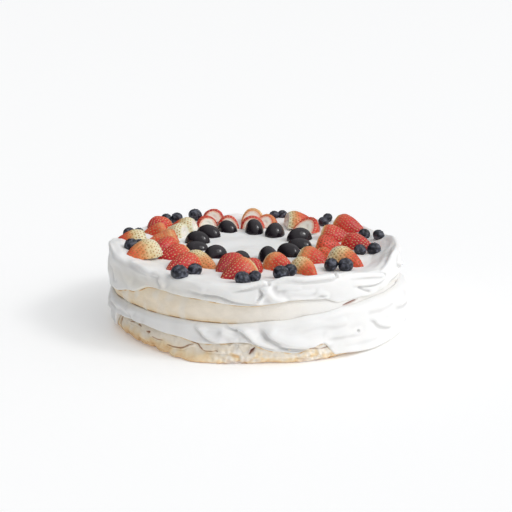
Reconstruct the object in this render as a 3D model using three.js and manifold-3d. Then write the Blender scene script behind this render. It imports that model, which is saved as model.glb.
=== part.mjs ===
// Pavlova: two meringue discs with whipped cream between them and on top, under a ring of fruit.
// Millimetres, +Z up. The cake stands on its flat base, with its front towards -Y.
import * as THREE from 'three';
import { mergeVertices } from 'three/addons/utils/BufferGeometryUtils.js';
import Module from 'manifold-3d';

const wasm = await Module();
wasm.setup();

// ---- driving dimensions ----
const GAP = 0.3;                 // clearance between pieces that touch
const COLUMNS = 54;              // steps round the cake

const LOWER_RADIUS = 128.4;      // lower meringue disc
const LOWER_TOP = 18;
const UPPER_RADIUS = 126.4;      // upper meringue disc
const UPPER_BOTTOM = 31;
const UPPER_TOP = 51;
const UPPER_SHIFT = 4.2;         // the upper disc and its cream sit this far to the left
const DISC_EDGE = 4.5;           // rounding of a disc's rim

const FILLING_RADIUS = 131.2;    // cream squeezed out between the discs
const TOPPING_RADIUS = 129;      // cream on top, hanging over the side
const TOPPING_LEVEL = 62.5;      // the flat middle of the cream
const TOPPING_SWIRL = 0.5;       // height of the spatula's spiral in it
const RIM_WIDTH = 30;            // the surface rises towards the rim over this width
const LIP = 4;                   // rounding of the cream's rim

const SUNK = 1.2;                // how far the fruit presses into the cream

// ---- colours ----
const CREAM = { color: 0xf4f3f1, roughness: 0.5 };
const MERINGUE = { color: 0xe8ddcf, roughness: 0.85 };
const BLUEBERRY = { color: 0x2b2f3d, roughness: 0.55 };
const GRAPE = { color: 0x17141a, roughness: 0.25 };
const STRAWBERRY = { color: 0xc8342a, roughness: 0.35 };

// ---- levels round the cake: [angle in degrees from +X, height in mm] ----
const RIM = [
  [-172, 70], [-150, 67.5], [-120, 66.5], [-95, 64.8], [-77, 68.5], [-60, 68.5], [-38, 66.5],
  [-12, 71.5], [5, 71], [22, 70], [45, 67], [65, 67.5], [90, 66.5], [120, 67], [150, 67.5],
];
const TOPPING_HEM = [
  [-172, 34], [-158, 38], [-144, 44.5], [-131, 54], [-120, 51], [-94, 47.2], [-76, 51],
  [-66, 50], [-59, 45.5], [-50, 46.2], [-30, 43.8], [-5, 43.8], [20, 44.5], [45, 49], [70, 46],
  [95, 50.5], [120, 46.5], [145, 41], [165, 36],
];
const FILLING_TOP = [
  [-172, 31.5], [-135, 29.5], [-104, 32], [-82, 36], [-70, 39], [-55, 42], [-30, 42.8],
  [-5, 41.6], [20, 38], [45, 35], [70, 34], [95, 32.5], [130, 31.5], [160, 31],
];
const FILLING_HEM = [
  [-172, 4.5], [-162, 6], [-156, 17], [-141, 19], [-121, 17], [-111, 14.5], [-95, 17.5],
  [-84, 11], [-77, 9], [-67, 15], [-61, 4], [-45, 1.2], [0, 1.5], [20, 4], [40, 13], [58, 16],
  [78, 8], [100, 14], [122, 17], [145, 14], [165, 7],
];

// ---- spatula ridges: [angle, height] to [angle, height], half width and rise in mm ----
const TOPPING_STROKES = [
  { from: [-16, 68], to: [-46, 60], width: 6, rise: 3 },
  { from: [-112, 63], to: [-93, 51], width: 6, rise: 1.4 },
  { from: [-88, 66], to: [-82, 53], width: 5, rise: 1.6 },
  { from: [-72, 67], to: [-58, 68], width: 5, rise: 1.8 },
  { from: [-62, 58], to: [-30, 52], width: 6, rise: 1.5 },
  { from: [25, 64], to: [52, 54], width: 7, rise: 2 },
  { from: [74, 66], to: [96, 56], width: 7, rise: 1.8 },
  { from: [112, 60], to: [138, 65], width: 7, rise: 1.8 },
  { from: [152, 64], to: [166, 48], width: 6, rise: 1.4 },
];
const FILLING_STROKES = [
  { from: [-92, 30], to: [-72, 12], width: 6, rise: 2 },
  { from: [-75, 33], to: [-60, 18], width: 6, rise: 1.4 },
  { from: [-56, 27], to: [-22, 21], width: 8, rise: 2 },
  { from: [-40, 10], to: [4, 15], width: 7, rise: 2.2 },
  { from: [-116, 27], to: [-98, 23], width: 5, rise: 1.5 },
  { from: [24, 30], to: [50, 22], width: 7, rise: 1.8 },
  { from: [66, 24], to: [92, 14], width: 6, rise: 2 },
  { from: [112, 26], to: [148, 22], width: 6, rise: 1.5 },
];

// ---- fruit: where the middle of each lies on the cream, and its sizes, in mm ----
// A row is one fruit, or two that touch and make one piece.
// Strawberry halves: [x, y, heading of the tip in degrees, length, width, height, lift],
// where lift is the tilt in degrees that raises the shoulder.
const STRAWBERRIES = [
  [[-18.5, -93, -132, 35, 27, 16, 3]],                                      // front
  [[-26, -66, -119, 34, 24, 11, 3]],
  [[-4, -67, -72, 33, 20, 11, 3]],
  [[-48, -56, -47, 33, 24, 12, 3]],                                         // round to the left
  [[-66, -69, -120, 35, 25, 11.5, 3]],
  [[-103.5, -36, -146, 31, 26, 15, 2]],
  [[-76, -31, -144, 27, 25, 12, 3]],
  [[-86, 1, -154, 25, 20, 9, 3]],
  [[-90, 28, -172, 27, 24, 11, 3]],
  [[-116.5, 16, -162, 25, 21, 10, 3]],
  [[-98, 54, -154, 26, 22, 10, 5]],
  [[-95, 66, -159, 26, 23, 12, 4]],
  [[-78, 54, 160, 25, 22, 12, 4]],
  [[-71, 74, 150, 24, 20, 13, 4]],
  [[-52, 95, 100, 26, 21, 10, 3], [-45, 110, 95, 24, 22, 12, 3]],           // back
  [[-31, 91, 100, 26, 21, 13, 4]],
  [[-7, 89, 92, 28, 25, 13, 5], [-6.5, 106, 88, 24, 24, 15, 4]],
  [[9.5, 99, 65, 27, 22, 12.5, 4]],
  [[49, 79, 30, 29, 24, 13.5, 4], [42, 92, 34, 34, 26, 15, 4]],             // round to the right
  [[87, 70, -23, 32, 26, 15.5, 5]],
  [[72.5, 41, -13, 32, 26, 14, 4]],
  [[90.5, 6, -34, 31, 25, 13.5, 4]],
  [[63.5, 6, -10, 23, 21, 12, 4]],
  [[59, -23, -31, 18, 14, 9.5, 2]],
  [[76, -48, -43, 31, 26, 15, 3]],
  [[48, -42, -27, 28, 25, 13.5, 3]],
  [[39, -78, -55, 26, 22, 13, 4]],
  [[18.5, -70, -45, 26, 23, 14, 4]],
];

// Grape halves: [x, y, heading, length, width, height].
const GRAPES = [
  [37, 38, 27, 25, 18, 12.5], [14.5, 57, 76, 23, 18.5, 12.5], [-5, 68, 94, 24, 18, 13],
  [-31, 71, 128, 23, 18, 11], [-48, 52, 150, 25, 18, 11], [-56.5, 24, 165, 24, 18, 12],
  [-56, -4, 186, 22, 17, 8.5], [-38, -29, 212, 22, 18, 11.5], [-16, -50, 250, 23, 18, 12],
  [7.5, -38, 282, 23, 18, 13], [25.5, -21, 322, 24, 18, 12], [36, 10, 355, 24, 17, 10],
];

// Blueberries: [x, y, size], and how far it is raised where it leans on others.
const BLUEBERRIES = [
  [[-13, -116, 13], [-5.6, -111.2, 10]],
  [[-63, -106.5, 13.8, -1.5]],
  [[-52, -93, 11]],
  [[-111.5, -27, 11.8], [-106, -18.5, 10.5, 4.5]],
  [[-118.3, 21.5, 11.5], [-110.8, 26, 10.5]],
  [[-89.5, 87, 10.5], [-81.9, 91, 11]],
  [[-63, 105, 12.5]],
  [[14, 117, 10], [22, 119, 9.5]],
  [[66, 101, 10.5], [60.5, 94, 10.5]],
  [[97, 43, 10.5]],
  [[109, 30, 10.8]],
  [[88, -16, 10]],
  [[100.5, -11, 11]],
  [[59, -69, 11]],
  [[71.3, -69, 11.8]],
  [[17.5, -98, 12.8], [24.5, -90, 11, 2]],
];

// ---- helpers ----
const rad = THREE.MathUtils.degToRad;
const { clamp, lerp, smoothstep, euclideanModulo } = THREE.MathUtils;

// The value at an angle of a closed curve through [angle, value] rows, smooth between them.
function around(rows, angle) {
  const last = rows.length - 1;
  const turn = (a, b) => euclideanModulo(a - b, 360);
  const start = turn(angle, rows[0][0]);
  let i = last;
  while (i > 0 && turn(rows[i][0], rows[0][0]) > start) i--;
  const [a0, v0] = rows[i];
  const [a1, v1] = rows[i === last ? 0 : i + 1];
  return lerp(v0, v1, smoothstep(turn(angle, a0) / turn(a1, a0), 0, 1));
}

// A soft uneven wobble round the cake, about 1 high.
function wobble(angle, seed) {
  const a = rad(angle);
  return 0.5 * Math.sin(3 * a + seed) + 0.35 * Math.sin(7 * a + 2.3 * seed) + 0.25 * Math.sin(13 * a - seed);
}

// How far the ridges stand out at an angle and height on a side of the given radius.
function ridges(strokes, radius, angle, height) {
  const perDegree = rad(radius);
  return strokes.reduce((sum, { from, to, width, rise }) => {
    const along = [(to[0] - from[0]) * perDegree, to[1] - from[1]];
    const here = [(euclideanModulo(angle - from[0] + 180, 360) - 180) * perDegree, height - from[1]];
    const part = clamp((along[0] * here[0] + along[1] * here[1]) / (along[0] ** 2 + along[1] ** 2), 0, 1);
    const away = Math.hypot(here[0] - part * along[0], here[1] - part * along[1]);
    return sum + rise * Math.exp(-((away / width) ** 2));
  }, 0);
}

// ---- solids ----
function closed(geometry) {
  geometry.deleteAttribute('normal');
  geometry.deleteAttribute('uv');
  return mergeVertices(geometry, 1e-4);
}

function toSolid(geometry) {
  const vertProperties = new Float32Array(geometry.attributes.position.array);
  const triVerts = new Uint32Array(geometry.index.array);
  return new wasm.Manifold(new wasm.Mesh({ numProp: 3, vertProperties, triVerts }));
}

// The largest connected body of a solid as a geometry: loose scraps of a cut are dropped.
function toGeometry(solid) {
  const { vertProperties, triVerts } = solid.getMesh();
  const geometry = new THREE.BufferGeometry();
  geometry.setAttribute('position', new THREE.BufferAttribute(vertProperties, 3));
  const owner = Array.from({ length: vertProperties.length / 3 }, (_, i) => i);
  const find = (i) => (owner[i] === i ? i : (owner[i] = find(owner[i])));
  for (let i = 0; i < triVerts.length; i += 3) {
    owner[find(triVerts[i])] = find(triVerts[i + 1]);
    owner[find(triVerts[i + 1])] = find(triVerts[i + 2]);
  }
  const bodies = new Map();
  triVerts.forEach((vertex) => {
    const body = find(vertex);
    bodies.set(body, [...(bodies.get(body) ?? []), vertex]);
  });
  geometry.setIndex([...bodies.values()].reduce((a, b) => (b.length > a.length ? b : a)));
  return geometry;
}

// A round layer, lofted from its top centre over its rounded side to its bottom centre.
// shape gives radius(angle, height), and top(angle, r) and bottom(angle, r) as heights.
function layer({ radius, top, bottom, edge, rings: [over, beside, under] }, grow = 0) {
  const rings = over + beside + under;
  const geometry = closed(new THREE.SphereGeometry(1, COLUMNS, rings).rotateX(Math.PI / 2));
  const position = geometry.attributes.position;
  for (let i = 0; i < position.count; i++) {
    const angle = THREE.MathUtils.radToDeg(Math.atan2(position.getY(i), position.getX(i)));
    const ring = Math.round((Math.acos(clamp(position.getZ(i), -1, 1)) / Math.PI) * rings);
    const inset = typeof edge === 'function' ? edge(angle) : edge;
    const rim = radius(angle, top(angle, LOWER_RADIUS)) - inset + grow;
    const foot = radius(angle, bottom(angle, LOWER_RADIUS)) - inset + grow;
    let r = (rim * ring) / over;
    let z = top(angle, r) + grow;
    if (ring > over) {
      const high = top(angle, rim) + grow;
      const low = bottom(angle, foot) - grow;
      const down = (Math.PI * (ring - over)) / beside;
      z = (high + low) / 2 + ((high - low) / 2) * Math.cos(down);
      r = radius(angle, z) - inset * (1 - Math.sin(down) ** 0.6) + grow;
    }
    if (ring >= over + beside) {
      r = (foot * (rings - ring)) / under;
      z = bottom(angle, r) - grow;
    }
    position.setXYZ(i, r * Math.cos(rad(angle)), r * Math.sin(rad(angle)), z);
  }
  return geometry;
}

// Half a fruit lying on its cut side, with its ends at -X (0) and +X (1): thickness(along)
// is the share of its full width and height there.
function halfFruit({ length, width, height, thickness }, grow = 0) {
  const [arch, rings] = [6, 6];
  const sides = arch + 1;
  const geometry = closed(new THREE.SphereGeometry(1, sides, rings).rotateZ(-Math.PI / 2));
  const position = geometry.attributes.position;
  const scale = (size) => (size + 2 * grow) / size;
  for (let i = 0; i < position.count; i++) {
    const side = Math.round((sides * Math.atan2(position.getZ(i), position.getY(i))) / (2 * Math.PI));
    const ring = Math.round((Math.acos(clamp(-position.getX(i), -1, 1)) / Math.PI) * rings);
    const isPole = ring === 0 || ring === rings;
    const along = (1 - Math.cos((Math.PI * Math.max(ring - 1, 0)) / (rings - 1))) / 2;
    const slant = (Math.PI * euclideanModulo(side, sides)) / arch;
    const share = isPole ? 0 : thickness(along);
    const onArch = slant <= Math.PI + 0.01 && !isPole;
    const y = onArch ? 0.5 * width * share * Math.cos(slant) : 0;
    const pole = ring === 0 ? 0.45 * height * thickness(0) : 0;
    const z = onArch ? height * share * Math.sin(slant) : pole;
    const middle = height / 2;
    position.setXYZ(
      i,
      (along - 0.5) * length * scale(length),
      y * scale(width),
      middle + (z - middle) * scale(height),
    );
  }
  return geometry;
}

// Along a strawberry from its hulled shoulder to its rounded tip.
function strawberryThickness(along) {
  const shoulder = 0.3;
  if (along < shoulder) return 1 - 0.2 * (1 - along / shoulder) ** 2;
  return Math.cos((Math.PI / 2) * ((along - shoulder) / (1 - shoulder))) ** 0.75;
}

function grapeThickness(along) {
  return Math.max(1 - (2 * along - 1) ** 2, 0) ** 0.45;
}

// A whole blueberry: a flattened ball with a sunken crown on top.
function blueberry(size, grow = 0) {
  const outline = [[0, 0.7], [0.36, 0.86], [0.88, 0.45], [0.94, -0.3], [0.55, -0.78], [0, -0.9]];
  const rings = outline.length - 1;
  const geometry = closed(new THREE.SphereGeometry(1, 8, rings).rotateX(Math.PI / 2));
  const position = geometry.attributes.position;
  const radius = size / 2 + grow;
  for (let i = 0; i < position.count; i++) {
    const turn = Math.atan2(position.getY(i), position.getX(i));
    const ring = Math.round((Math.acos(clamp(position.getZ(i), -1, 1)) / Math.PI) * rings);
    const [share, height] = outline[ring];
    position.setXYZ(i, radius * share * Math.cos(turn), radius * share * Math.sin(turn), radius * height);
  }
  return geometry;
}

// ---- the four layers ----
const lowerMeringue = {
  radius: (angle, z) => LOWER_RADIUS + 0.8 * wobble(angle, 1) + 1.2 * Math.sin((Math.PI * z) / LOWER_TOP),
  top: (angle) => LOWER_TOP + 0.6 * wobble(angle, 2),
  bottom: () => 0,
  edge: DISC_EDGE,
  rings: [2, 5, 1],
};

const upperMeringue = {
  radius: (angle) => UPPER_RADIUS - UPPER_SHIFT * Math.cos(rad(angle)) + 0.6 * wobble(angle, 4),
  top: (angle) => UPPER_TOP + 0.5 * wobble(angle, 5),
  bottom: (angle) => UPPER_BOTTOM + 0.5 * wobble(angle, 3),
  edge: DISC_EDGE,
  rings: [2, 5, 2],
};

const filling = {
  radius: (angle, z) => FILLING_RADIUS + 1.8 * Math.abs(Math.cos(rad(angle)))
    + ridges(FILLING_STROKES, FILLING_RADIUS, angle, z) + 0.5 * wobble(angle, 6),
  top: (angle, r) => lerp(UPPER_BOTTOM + 5, around(FILLING_TOP, angle), smoothstep(r, 100, 120)),
  bottom: (angle, r) => lerp(LOWER_TOP - 5, around(FILLING_HEM, angle), smoothstep(r, 100, 120)),
  edge: (angle) => 4 + 4 * Math.exp(-((angle / 60) ** 2)),
  rings: [1, 6, 1],
};

const topping = {
  radius: (angle, z) => TOPPING_RADIUS - (UPPER_SHIFT + 0.4) * Math.cos(rad(angle))
    + ridges(TOPPING_STROKES, TOPPING_RADIUS, angle, z) + 0.5 * wobble(angle, 8),
  top: (angle, r) => lerp(
    TOPPING_LEVEL + TOPPING_SWIRL * Math.sin(0.16 * r - 2 * rad(angle)),
    around(RIM, angle),
    smoothstep(r, TOPPING_RADIUS - RIM_WIDTH, TOPPING_RADIUS - LIP),
  ),
  bottom: (angle, r) => lerp(UPPER_TOP - 6, around(TOPPING_HEM, angle), smoothstep(r, 100, 120)),
  edge: LIP,
  rings: [6, 5, 1],
};

// ---- the cake ----
const cake = new THREE.Group();

function add(name, geometry, finish) {
  const mesh = new THREE.Mesh(geometry, new THREE.MeshStandardMaterial({ ...finish, metalness: 0 }));
  mesh.name = name;
  cake.add(mesh);
  return mesh;
}

const lowerGrown = toSolid(layer(lowerMeringue, GAP));
const upperGrown = toSolid(layer(upperMeringue, GAP));
const creamGrown = toSolid(layer(topping, GAP));

add('lower_meringue', layer(lowerMeringue), MERINGUE);
add('filling_cream', toGeometry(toSolid(layer(filling)).subtract(lowerGrown).subtract(upperGrown)), CREAM);
add('upper_meringue', layer(upperMeringue), MERINGUE);
add('topping_cream', toGeometry(toSolid(layer(topping)).subtract(upperGrown)), CREAM);

// The matrix that lays a fruit on the cream, headed and tilted, raised by height.
function laidAt([x, y], heading, lift, height) {
  const angle = THREE.MathUtils.radToDeg(Math.atan2(y, x));
  const floor = topping.top(angle, Math.hypot(x, y)) - SUNK;
  const matrix = new THREE.Matrix4().makeRotationFromEuler(new THREE.Euler(0, rad(lift), rad(heading), 'ZYX'));
  return matrix.setPosition(x, y, floor + height);
}

// Adds a node of one fruit, or of fruits that touch, cut clear of the cream and of the
// fruits laid before it. Its mesh stands where the first of its fruits is laid.
const laid = [];

function lay(name, fruits, finish) {
  const grown = fruits.map(({ shape, matrix }) => shape(GAP).applyMatrix4(matrix));
  const box = grown.reduce((all, geometry) => {
    geometry.computeBoundingBox();
    return all.union(geometry.boundingBox);
  }, new THREE.Box3());
  let solid = fruits
    .map(({ shape, matrix }) => toSolid(shape(0).applyMatrix4(matrix)))
    .reduce((all, fruit) => all.add(fruit))
    .subtract(creamGrown);
  laid.filter((other) => other.box.intersectsBox(box)).forEach((other) => {
    solid = solid.subtract(other.solid);
  });
  grown.forEach((geometry) => laid.push({ box, solid: toSolid(geometry) }));
  const [{ matrix }] = fruits;
  add(name, toGeometry(solid).applyMatrix4(matrix.clone().invert()), finish).applyMatrix4(matrix);
}

const numbered = (name, i) => `${name}_${String(i + 1).padStart(2, '0')}`;

GRAPES.forEach(([x, y, heading, length, width, height], i) => {
  const size = { length, width, height, thickness: grapeThickness };
  const shape = (grow) => halfFruit(size, grow);
  lay(numbered('grape', i), [{ shape, matrix: laidAt([x, y], heading, 0, 0) }], GRAPE);
});

STRAWBERRIES.forEach((group, i) => {
  const fruits = group.map(([x, y, heading, length, width, height, lift]) => {
    const size = { length, width, height, thickness: strawberryThickness };
    const raised = 0.3 * length * Math.sin(rad(lift));
    return { shape: (grow) => halfFruit(size, grow), matrix: laidAt([x, y], heading, lift, raised) };
  });
  lay(numbered('strawberry', i), fruits, STRAWBERRY);
});

BLUEBERRIES.forEach((group, i) => {
  const fruits = group.map(([x, y, size, raised = 0], k) => ({
    shape: (grow) => blueberry(size, grow),
    matrix: laidAt([x, y], 70 * i + 150 * k, 40, 0.44 * size + raised),
  }));
  lay(numbered('blueberry', i), fruits, BLUEBERRY);
});

// The origin is at the middle of the base.
const centre = new THREE.Box3().setFromObject(cake, true).getCenter(new THREE.Vector3());
cake.position.set(-centre.x, -centre.y, 0);
cake.updateMatrixWorld(true);

export default cake;
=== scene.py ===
"""Pavlova: two meringue discs with whipped cream between them and on top, under a ring of fruit.

Rows and shapes are in millimetres, turned into metres as a mesh is made. Angles round the cake are in
degrees from +X, and the front is towards -Y.
"""
import math

import bpy
import numpy as np
from bpy.props import FloatProperty, FloatVectorProperty, PointerProperty
from bpy.types import Operator, Panel, PropertyGroup
from mathutils import Euler, Matrix


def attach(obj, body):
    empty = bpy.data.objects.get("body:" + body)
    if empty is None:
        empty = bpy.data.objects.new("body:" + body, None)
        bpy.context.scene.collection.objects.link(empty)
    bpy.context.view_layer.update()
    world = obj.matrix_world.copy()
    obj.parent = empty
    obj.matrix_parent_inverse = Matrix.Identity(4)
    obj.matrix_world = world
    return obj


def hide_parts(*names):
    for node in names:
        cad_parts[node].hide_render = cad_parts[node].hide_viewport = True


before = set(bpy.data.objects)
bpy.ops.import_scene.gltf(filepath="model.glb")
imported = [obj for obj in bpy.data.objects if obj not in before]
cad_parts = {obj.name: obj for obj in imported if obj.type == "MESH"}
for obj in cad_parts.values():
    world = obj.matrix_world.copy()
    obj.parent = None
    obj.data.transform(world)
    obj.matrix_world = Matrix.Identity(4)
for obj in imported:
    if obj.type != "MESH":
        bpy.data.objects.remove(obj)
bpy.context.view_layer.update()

bl_info = {
    "name": "Pavlova",
    "version": (1, 0, 0),
    "blender": (4, 5, 0),
    "location": "View3D > Sidebar > Pavlova",
    "description": "A layered meringue cake with whipped cream, halved strawberries, grapes and blueberries",
    "category": "Add Mesh",
}

MM = 0.001
CENTRE = (-0.42, 0.34)  # the layers' middle, off the middle of the whole cake's box
CLEARANCE = 0.15        # between a layer of cream and the meringue that it lies on
DISC_COLUMNS, FILLING_COLUMNS, TOPPING_COLUMNS = 880, 860, 700
DISC_RINGS, TOPPING_RINGS, FRUIT_RINGS = 57, 64, 41
CUT_EDGE = math.radians(50)     # the edge round a fruit's cut stays sharp from this angle on

# ---- places round the cake ----
SHADED_SIDE = (-145, 30)                # the side away from the light, its crust painted browner as painted shade and painted warm light from below: angle, half width
CRUMBLY = ((-96, 9), (-69, 8))      # where the lower meringue crumbles
LIFTED = (-178, -114)               # it stands clear of the ground from the one angle to the other
BULGE = (-129, 9)                   # where the upper meringue is higher
LIT_SIDE = -25                       # the middle of the upper meringue's side that faces the light, painted whiter with the cream's colour as painted light
SHARP_RIM = (-176, 20)              # where the rim of the cream on top is sharper
ROUNDER = (0, 60)                   # where the upper edge of the filling is rounder
# Where crust shows through the cream on top: angle, half width, height, half height, how much.
THIN_PLACES = ((-22, 12, 48, 4, 1), (-138, 26, 54, 8, 1.5))

# ---- levels round the cake: (angle, height) ----
RIM = [
    (-172, 71), (-150, 67.5), (-120, 66.5), (-95, 64.8), (-77, 68.5), (-56, 69), (-42, 65.5), (-35, 64),
    (-29, 67), (-25, 71.5), (-20, 74), (-14, 73.5), (-8, 72), (0, 74.6), (5, 74.8), (10, 73), (14, 71.3),
    (20, 69.6), (27, 68.2), (45, 67), (65, 67.5), (90, 66.5), (120, 66), (145, 66.2), (157, 64.6),
    (168, 65.4), (178, 69.4),
]
TOPPING_HEM = [
    (-172, 34), (-158, 38), (-144, 44.5), (-131, 54), (-120, 51), (-94, 47.2), (-76, 51), (-66, 50),
    (-59, 45.5), (-50, 46.2), (-43, 45), (-34, 47), (-26, 47), (-5, 43.8), (20, 44.5), (45, 49), (70, 46),
    (95, 50.5), (120, 46.5), (145, 41), (165, 36),
]
FILLING_TOP = [
    (-172, 31), (-135, 29), (-104, 31.4), (-82, 35.4), (-70, 38.6), (-55, 42), (-40, 43.4), (-30, 43.2),
    (-5, 42.6), (20, 38), (45, 35), (70, 34), (95, 32.5), (130, 31.5), (160, 31),
]
FILLING_HEM = [
    (-172, 4), (-160, 5), (-155.4, 17), (-141, 19), (-121, 17), (-111, 14.5), (-95, 17.5), (-84, 11),
    (-77, 9), (-67, 15), (-61, 4), (-45, 1.2), (0, 1.5), (20, 4), (40, 13), (58, 16), (78, 8), (100, 14),
    (122, 17), (145, 14), (165, 7),
]

# ---- marks of the spatula: (path of (angle, height), rise, softness left of it, and right of it) ----
# A height above the rim runs on over the rim and inwards along the top.
PRESS = 1.3     # how high a ridge comes out, for its rise
GROOVE = 0.35   # how deep the groove beside a ridge is, for the ridge's height
TOPPING_MARKS = [
    ([(-118, 59.5), (-108.8, 57.5), (-104.2, 56.8), (-98.1, 52.9), (-92.1, 51.2), (-88, 51)], 2.4, 8, 1.5),
    ([(-91.6, 50.8), (-90.2, 51.8), (-89, 54.4), (-88.4, 57.8), (-88.8, 60.6), (-90, 63.5)], 1.5, 0.9, 4),
    ([(-101, 60.5), (-94.8, 62.9), (-92.1, 65.4), (-89.8, 67.1), (-86.4, 69.4)], 1.9, 5, 1.1),
    ([(-87.8, 64.5), (-86.6, 59), (-84.4, 53.4), (-79, 50.5)], 1.8, 3, 3.2),
    ([(-87.3, 71), (-86.6, 64.6)], -1.8, 0.9, 0.9),
    ([(-86.6, 70), (-82, 71.4), (-78, 70.6), (-74.8, 68.7), (-65.4, 68.3), (-62, 69.6),
      (-61.4, 74)], 2.2, 5, 1.2),
    ([(-84.5, 61.2), (-81, 61.9), (-74, 61.4)], 0.5, 3, 1.3),
    ([(-82, 57), (-78, 58.4), (-72.6, 57.4), (-69, 58.6)], 0.5, 2.4, 1.4),
    ([(-60.5, 75), (-60.4, 66.4)], -1.5, 0.9, 1.1),
    ([(-58, 69), (-52.2, 68), (-46.4, 66.4), (-40, 63.4), (-36.2, 60), (-35.2, 57.6), (-38.5, 55.4),
      (-44, 55.8), (-50, 57.6), (-55, 60)], 1.5, 1.1, 4),
    ([(-51, 56.4), (-48.6, 53.4), (-46.2, 51), (-42.4, 48.2)], -1.1, 1.4, 1.4),
    ([(-15, 75), (-20, 74.6), (-25, 71.8), (-29, 67.4), (-34, 64), (-38, 61)], 1.2, 6, 1.5),
    ([(-8, 58), (-16.3, 54), (-22.7, 52.8), (-29.6, 52), (-33, 49), (-38, 47)], 1.0, 1.3, 6),
    ([(-70, 55), (-67.3, 55.6), (-65, 53.5), (-66, 50.7), (-70, 50)], 0.8, 2.6, 1.5),
    ([(-168, 62), (-160, 58), (-158.8, 52.2), (-157, 45)], 0.8, 6, 2.6),
    ([(-163, 66), (-152, 63), (-146, 57), (-142, 50)], 0.7, 7, 3.6),
    ([(-150, 77), (-144.5, 72.6), (-136.5, 68), (-130.8, 64)], 0.9, 4, 2.4),
    ([(-133, 66.5), (-127.4, 65.6), (-126.6, 61), (-124.9, 55.6)], 1.5, 4, 2),
    ([(-124, 66), (-118, 64), (-112, 61.6), (-108, 57)], 1.0, 3.4, 5),
    ([(-122, 55), (-116, 53.2), (-108, 51.6), (-102, 50.2)], 0.9, 3, 1.4),
    ([(170, 53), (182, 52), (192, 52), (202, 53)], 1.1, 8, 8),
    ([(-20, 64), (-8, 54), (6, 50)], 2.2, 6, 1.6),
    ([(-14, 73), (-2, 66), (12, 62), (22, 63)], 1.0, 5, 3),
    ([(14, 52), (28, 60), (44, 63)], 1.3, 6, 2),
    ([(30, 70), (44, 66), (58, 67)], 1.6, 4, 1.4),
    ([(50, 66), (62, 57), (70, 51)], 2.2, 5, 1.6),
    ([(78, 54), (92, 60), (104, 66)], 2.2, 7, 1.4),
    ([(98, 70), (112, 64), (126, 66)], 1.6, 4, 1.4),
    ([(110, 61), (124, 55), (138, 54)], 2.2, 6, 1.4),
    ([(146, 58), (158, 62), (170, 60)], 1.6, 6, 1.8),
    ([(156, 54), (168, 50), (178, 46)], 1.2, 5, 1.8),
]
FILLING_MARKS = [
    ([(-113, 30), (-110.4, 26), (-108.6, 22), (-105, 18.6), (-100, 17.4)], 2.0, 5, 1.5),
    ([(-103, 32), (-99.3, 28.5), (-97, 28)], -1.3, 1.2, 1.2),
    ([(-99, 32), (-95.5, 28.3), (-93.8, 25.2), (-92.3, 22), (-90.8, 19), (-87, 16.2),
      (-82, 14)], 2.6, 4.5, 1.4),
    ([(-89.6, 34), (-87, 28.2), (-85.6, 24.8), (-83.6, 21.9), (-80.8, 18.9), (-77, 16.8), (-70, 15.4),
      (-62, 16)], 3.2, 7, 2.2),
    ([(-104, 27), (-100.5, 23.5), (-96.5, 21)], 0.9, 2, 3),
    ([(-84, 17.4), (-79.4, 14.6), (-71.3, 12.8), (-64, 13)], 1.0, 2.4, 1.2),
    ([(-78, 29), (-70, 32), (-62, 31), (-57, 33)], 0.45, 4, 1.8),
    ([(-67.4, 22), (-62.7, 21), (-56.4, 21.2), (-49.3, 20.5)], 0.5, 4, 1.6),
    ([(-48, 32), (-44.1, 27.4), (-42.3, 23.9), (-39.7, 20.7), (-35.5, 17.8), (-31, 16.6)], 1.0, 5, 1.3),
    ([(-53.2, 21.8), (-51.8, 20.4)], -1.2, 1, 1),
    ([(-60, 15.2), (-52, 14.4), (-40, 13.4)], 0.4, 5, 2),
    ([(-50, 39), (-40, 37), (-30, 38)], 0.5, 4, 2),
    ([(-170, 24), (-160, 25), (-150, 27), (-142, 25)], 1.0, 5, 1.6),
    ([(-147, 30), (-143.4, 26), (-141.6, 22), (-136, 19.6)], 1.5, 5, 1.5),
    ([(-30, 33), (-18, 28), (-4, 25)], 1.0, 6, 2),
    ([(-18, 12), (2, 10), (16, 14)], 2.0, 6, 1.6),
    ([(24, 30), (38, 24), (50, 21)], 2.2, 6, 1.4),
    ([(56, 30), (70, 22), (84, 18)], 2.4, 5, 1.6),
    ([(92, 27), (104, 22), (116, 21)], 2.0, 5, 1.4),
    ([(126, 28), (142, 23), (156, 20)], 2.0, 5, 1.4),
    ([(168, 27), (182, 20), (196, 16)], 1.8, 5, 1.6),
]

# ---- plates of crust that overlap the ones below: (path, rise, softness above, softness below) ----
LOWER_PLATES = [
    ([(-150, 16), (-146.6, 15.6), (-142.6, 16.2), (-137, 14.6), (-132.3, 11.8),
      (-126.5, 10.4)], 1.2, 3.4, 0.6),
    ([(-128, 10), (-124.4, 8.2), (-120.9, 7.6), (-117.9, 8), (-115.3, 10.8), (-111.7, 12)], 1.2, 3, 0.6),
    ([(-113, 12.6), (-110.3, 10), (-107, 8.6), (-100, 9), (-96, 7)], 1.1, 3, 0.6),
    ([(-150, 9), (-140, 8), (-130, 5.4), (-120, 4.4)], 0.8, 3, 0.8),
    ([(-86, 7), (-78, 5.6), (-70, 6.4), (-62, 5.2)], 0.9, 3, 0.7),
    ([(20, 8), (36, 10), (50, 8), (64, 10)], 1.1, 3, 0.7),
    ([(78, 6), (90, 9), (104, 8), (118, 10)], 1.1, 3, 0.7),
    ([(126, 8), (140, 10), (154, 9)], 1.1, 3, 0.7),
]

# ---- how far the crust draws in at the base, or spreads out where it is below 0: (angle, depth) ----
LOWER_TUCK = [
    (-172, 3), (-160, 1.5), (-146, 0.5), (-136, -0.5), (-127, -3), (-119, -7), (-113, -8.5), (-105, -6),
    (-96, -1.8), (-86, 1.4), (-77, -0.8), (-67, -1), (-61, 1.5), (-55, 3), (-10, 2), (40, 4), (80, 6),
    (120, 4), (155, 5),
]

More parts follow.
